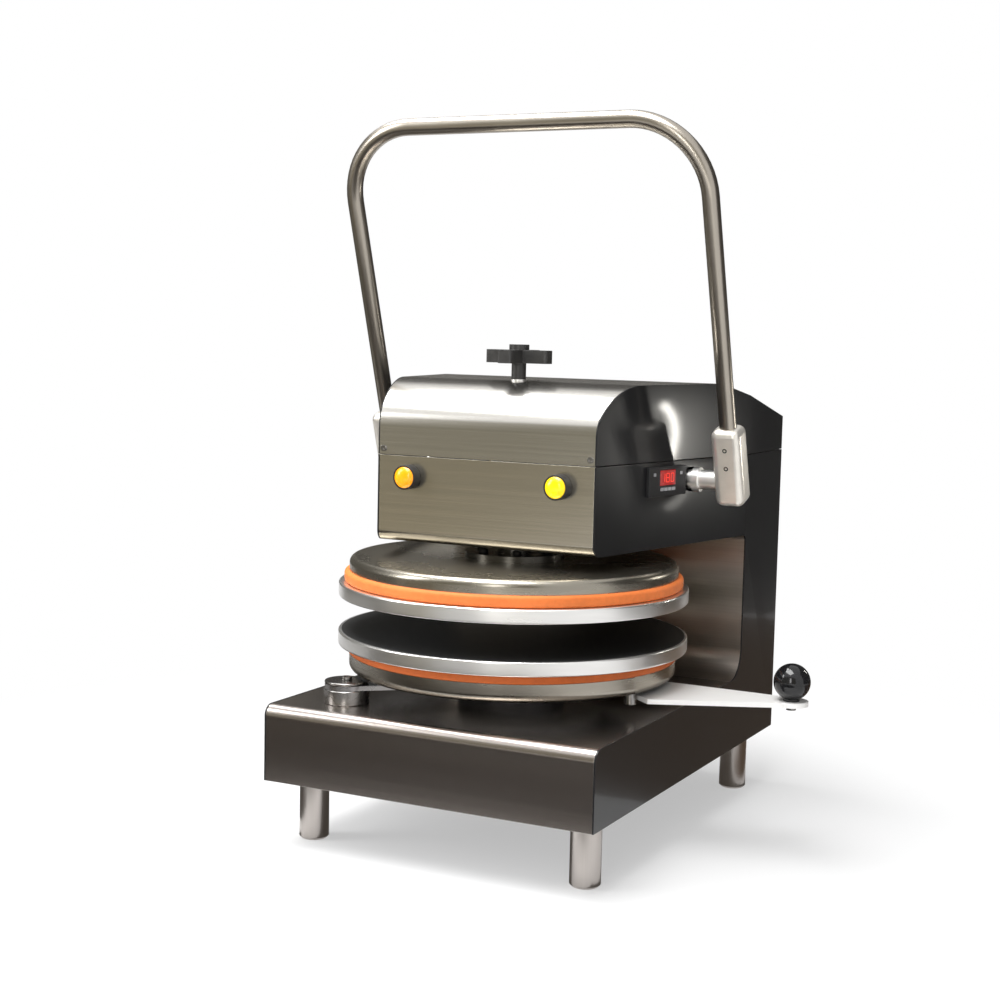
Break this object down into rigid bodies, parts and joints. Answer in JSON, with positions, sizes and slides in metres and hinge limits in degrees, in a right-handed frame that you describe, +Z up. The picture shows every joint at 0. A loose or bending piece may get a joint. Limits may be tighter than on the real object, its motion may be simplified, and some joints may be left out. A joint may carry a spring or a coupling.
{
  "type": "pizza dough press",
  "caption": "Hand-pulled dough press with a C-shaped steel cabinet on legs, two round heated platens, a bail handle that lowers the ram and a lower platen that swings out on an arm.",
  "frame": {"origin": "on the floor, midway between the four legs", "axes": "+X to the right as the operator faces the press, +Y to the rear, +Z up"},
  "size_m": [0.6648, 0.674, 0.9268],
  "materials": {
    "brushed_sheet": "brushed stainless sheet, grain along the width",
    "dark_sheet": "dark charcoal, semi-gloss",
    "bright_steel": "polished stainless",
    "satin_aluminium": "satin machined",
    "platen_aluminium": "turned rim, dark non-stick face",
    "platen_casing": "spun steel, satin",
    "orange_silicone": "smooth moulded silicone",
    "frame_steel": "plain mill steel",
    "bronze": "sintered bronze",
    "heater_sheath": "oxidised heater sheath",
    "black_plastic": "fine moulded texture",
    "gloss_black": "polished phenolic",
    "amber_lens": "translucent amber lens",
    "red_display": "lit red display window"
  },
  "bodies": {
    "cabinet": {"legs": "bright_steel", "leg_bars": "frame_steel", "bottom_plate": "brushed_sheet", "base_cover": "brushed_sheet", "column_cover": "brushed_sheet", "rear_cover": "brushed_sheet", "side_panel_left": "dark_sheet", "side_panel_right": "dark_sheet", "head_front": "brushed_sheet", "hood": "brushed_sheet", "hood_cheek_left": "dark_sheet", "hood_cheek_right": "dark_sheet", "frame_plate_left": "frame_steel", "frame_plate_right": "frame_steel", "anvil_plate": "frame_steel", "spine_plate": "frame_steel", "guide_block": "frame_steel", "guide_bush": "bronze", "guide_rods": "bright_steel", "return_springs": "bright_steel", "top_bridge": "frame_steel", "shaft_bushes": "bronze", "spindle_bush": "bright_steel", "anvil_block": "frame_steel", "pivot_post": "bright_steel", "pivot_cap": "bright_steel", "button_housings": "black_plastic", "switch_bodies": "black_plastic", "controller_face": "black_plastic", "controller_window": "red_display", "controller_body": "black_plastic", "cable_gland": "black_plastic", "cover_screws": "bright_steel"},
    "handle": {"cross_shaft": "bright_steel", "drive_pinion": "frame_steel", "shaft_collars": "bright_steel", "handle_tube": "bright_steel", "handle_block_left": "satin_aluminium", "handle_block_right": "satin_aluminium", "block_set_screws": "frame_steel"},
    "ram_carriage": {"ram": "bright_steel", "ram_yoke": "frame_steel", "drive_rack": "frame_steel", "upper_platen": "platen_aluminium", "upper_seal": "orange_silicone", "upper_cover": "platen_casing", "upper_heater": "heater_sheath"},
    "adjuster": {"adjust_knob": "black_plastic", "adjust_spindle": "bright_steel"},
    "stop": {"stop_nut": "bronze"},
    "swing_platen": {"swing_arm": "satin_aluminium", "lower_platen": "platen_aluminium", "lower_seal": "orange_silicone", "lower_pan": "platen_casing", "lower_heater": "heater_sheath", "arm_bolts": "bright_steel", "ball_knob": "gloss_black", "ball_stud": "bright_steel"},
    "push_left": {"button_left": "amber_lens"},
    "push_right": {"button_right": "amber_lens"}
  },
  "joints": [
    {"name": "handle_swing", "type": "hinge", "parent": "cabinet", "child": "handle", "pos_m": [0, 0.034, 0.466], "axis": [1, 0, 0], "range_deg": [0, 80.2]},
    {"name": "ram_slide", "type": "slide", "parent": "cabinet", "child": "ram_carriage", "axis": [0, 0, -1], "range_m": [0, 0.042], "stiffness_N_per_m": 4000, "springref_m": -0.12, "deforming": ["return_springs"]},
    {"name": "knob_turn", "type": "hinge", "parent": "cabinet", "child": "adjuster", "pos_m": [0, -0.086, 0.62], "axis": [0, 0, 1], "range_deg": [-355, 355]},
    {"name": "stop_travel", "type": "slide", "parent": "cabinet", "child": "stop", "axis": [0, 0, 1], "range_m": [-0.003, 0.003]},
    {"name": "swing_out", "type": "hinge", "parent": "cabinet", "child": "swing_platen", "pos_m": [-0.15005, -0.255, 0.2], "axis": [0, 0, -1], "range_deg": [0, 95]},
    {"name": "press_left", "type": "slide", "parent": "cabinet", "child": "push_left", "axis": [0, 1, 0], "range_m": [0, 0.003], "stiffness_N_per_m": 400, "springref_m": -0.002},
    {"name": "press_right", "type": "slide", "parent": "cabinet", "child": "push_right", "axis": [0, 1, 0], "range_m": [0, 0.003], "stiffness_N_per_m": 400, "springref_m": -0.002}
  ],
  "couplings": [
    {"joint": "ram_slide", "follows": "handle_swing", "m_per_rad": 0.03},
    {"joint": "stop_travel", "follows": "knob_turn", "m_per_rad": -0.00047746}
  ]
}
